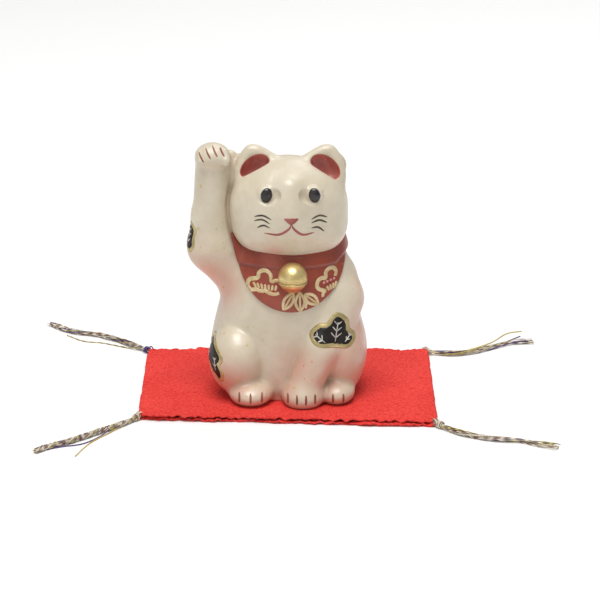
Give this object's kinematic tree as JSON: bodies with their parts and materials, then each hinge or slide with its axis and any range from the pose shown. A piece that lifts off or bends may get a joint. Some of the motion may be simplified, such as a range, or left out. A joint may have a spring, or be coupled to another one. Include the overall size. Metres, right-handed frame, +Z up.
{
  "type": "beckoning cat figurine",
  "caption": "Seated pottery cat with a raised forepaw, red bib and gold bell, standing on a small red crepe mat with thread tassels at its corners.",
  "frame": {"origin": "bottom centre of the mat, on the surface it lies on", "axes": "+X to the viewer's right, +Y away from the viewer towards the cat's back, +Z up"},
  "size_m": [0.1871, 0.1399, 0.094],
  "materials": {
    "pearl_glaze": "pearly cream-white glaze with fine gold flecks, pink shading and painted black patches outlined in gold",
    "bib_enamel": "brick-red enamel with raised gold line drawing",
    "bell_gold": "bright gold painted over clay, slightly hammered",
    "red_crepe": "bright red silk-like crepe with a fine pebbled grain",
    "wadding": "thin white wadding, hidden inside the mat",
    "red_thread": "red sewing thread, hidden in the hem",
    "tassel_thread": "mixed cream, purple, maroon and yellow threads"
  },
  "bodies": {
    "mat": {"mat_bottom_cloth": "red_crepe", "mat_wadding": "wadding", "seam_thread": "red_thread", "mat_top_cloth": "red_crepe", "knot_front_left": "tassel_thread", "knot_front_right": "tassel_thread", "knot_back_right": "tassel_thread", "knot_back_left": "tassel_thread"},
    "cat": {"cat_body": "pearl_glaze", "raised_arm": "pearl_glaze", "collar_bib": "bib_enamel", "bell": "bell_gold"},
    "tassel_front_left": {"tassel_front_left": "tassel_thread"},
    "tassel_front_right": {"tassel_front_right": "tassel_thread"},
    "tassel_back_right": {"tassel_back_right": "tassel_thread"},
    "tassel_back_left": {"tassel_back_left": "tassel_thread"}
  },
  "joints": [
    {"name": "cat_lift", "type": "slide", "parent": "mat", "child": "cat", "axis": [0, 0, 1], "range_m": [0, 0.03]},
    {"name": "tassel_front_left_swing", "type": "hinge", "parent": "mat", "child": "tassel_front_left", "pos_m": [-0.0531, -0.03287, 0.0012], "axis": [0, 0, 1], "range_deg": [-25, 25]},
    {"name": "tassel_front_right_swing", "type": "hinge", "parent": "mat", "child": "tassel_front_right", "pos_m": [0.05306, -0.03992, 0.0012], "axis": [0, 0, 1], "range_deg": [-25, 25]},
    {"name": "tassel_back_right_swing", "type": "hinge", "parent": "mat", "child": "tassel_back_right", "pos_m": [0.05307, 0.03791, 0.0012], "axis": [0, 0, 1], "range_deg": [-25, 25]},
    {"name": "tassel_back_left_swing", "type": "hinge", "parent": "mat", "child": "tassel_back_left", "pos_m": [-0.05306, 0.03992, 0.0012], "axis": [0, 0, 1], "range_deg": [-25, 25]}
  ]
}
